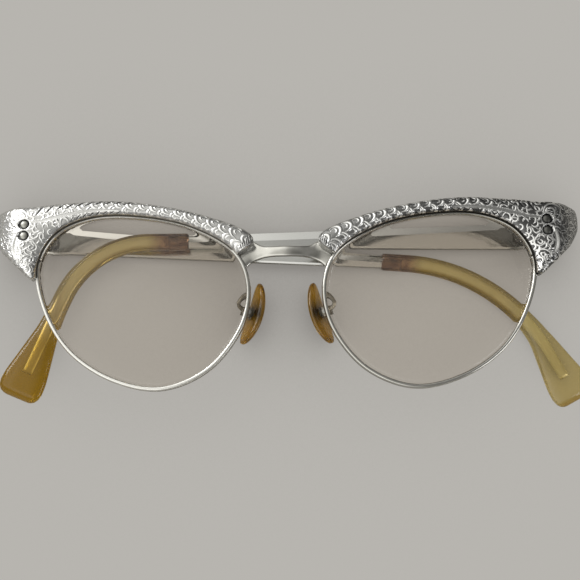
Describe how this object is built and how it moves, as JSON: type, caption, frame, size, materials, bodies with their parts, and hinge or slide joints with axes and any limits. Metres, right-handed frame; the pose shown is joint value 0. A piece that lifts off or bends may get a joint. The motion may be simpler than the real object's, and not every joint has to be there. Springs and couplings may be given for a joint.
{
  "type": "cat eye eyeglasses",
  "caption": "Folding browline cat eye eyeglasses with engraved aluminium brow bars, thin metal eyewires, riveted hinges, nose pads and amber temple sleeves.",
  "frame": {"origin": "on the plane the folded temples rest on, under the middle of the overall outline of the folded pair seen from the front; the middle of the nose lies 0.7 mm beside it towards -X, because the left temple's tip reaches past the front's right end", "axes": "+X along the front towards the right of the front view, +Y from the lower rims up to the brow, +Z out of the front of the lenses, away from the floor under the folded temples"},
  "size_m": [0.141, 0.048, 0.0137],
  "materials": {
    "bright_aluminium": "bright, engraved on the front of the brow bars",
    "wire_metal": "polished",
    "fastener_metal": "satin",
    "hinge_metal": "satin, a little dulled",
    "arm_metal": "darkened with age",
    "core_metal": "bright, seen through the sleeve",
    "lens_glass": "clear, faint warm tint",
    "amber_plastic": "glossy, translucent amber"
  },
  "bodies": {
    "front": {"eyewire_left": "wire_metal", "eyewire_right": "wire_metal", "rim_lock_left": "wire_metal", "rim_lock_right": "wire_metal", "rim_lock_screw_left": "fastener_metal", "rim_lock_screw_right": "fastener_metal", "lens_left": "lens_glass", "lens_right": "lens_glass", "bridge": "wire_metal", "brow_bar_left": "bright_aluminium", "brow_bar_right": "bright_aluminium", "brow_screws": "fastener_metal", "hinge_front_leaf_left": "hinge_metal", "hinge_front_leaf_right": "hinge_metal", "hinge_front_rivets_left": "fastener_metal", "hinge_front_rivets_right": "fastener_metal", "hinge_screw_left": "fastener_metal", "hinge_screw_right": "fastener_metal", "pad_arm_left": "arm_metal", "pad_arm_right": "arm_metal", "pad_screw_left": "fastener_metal", "pad_screw_right": "fastener_metal"},
    "temple_left": {"temple_shaft_left": "bright_aluminium", "temple_hinge_leaf_left": "hinge_metal", "temple_rivets_left": "fastener_metal", "temple_core_left": "core_metal", "temple_sleeve_left": "amber_plastic"},
    "temple_right": {"temple_shaft_right": "bright_aluminium", "temple_hinge_leaf_right": "hinge_metal", "temple_rivets_right": "fastener_metal", "temple_core_right": "core_metal", "temple_sleeve_right": "amber_plastic"},
    "pad_left": {"nose_pad_left": "amber_plastic", "pad_mount_left": "arm_metal"},
    "pad_right": {"nose_pad_right": "amber_plastic", "pad_mount_right": "arm_metal"}
  },
  "joints": [
    {"name": "temple_left_hinge", "type": "hinge", "parent": "front", "child": "temple_left", "pos_m": [-0.0645, 0.01706, 0.00385], "axis": [0, 1, 0], "range_deg": [0, 93]},
    {"name": "temple_right_hinge", "type": "hinge", "parent": "front", "child": "temple_right", "pos_m": [0.0631, 0.01706, 0.00385], "axis": [0, -1, 0], "range_deg": [0, 94.9]},
    {"name": "pad_left_rock", "type": "hinge", "parent": "front", "child": "pad_left", "pos_m": [-0.01002, -0.00141, 0.00541], "axis": [0.4513, -0.1294, 0.8829], "range_deg": [-10, 10]},
    {"name": "pad_right_rock", "type": "hinge", "parent": "front", "child": "pad_right", "pos_m": [0.00861, -0.00141, 0.00541], "axis": [-0.4513, -0.1294, 0.8829], "range_deg": [-10, 10]}
  ]
}
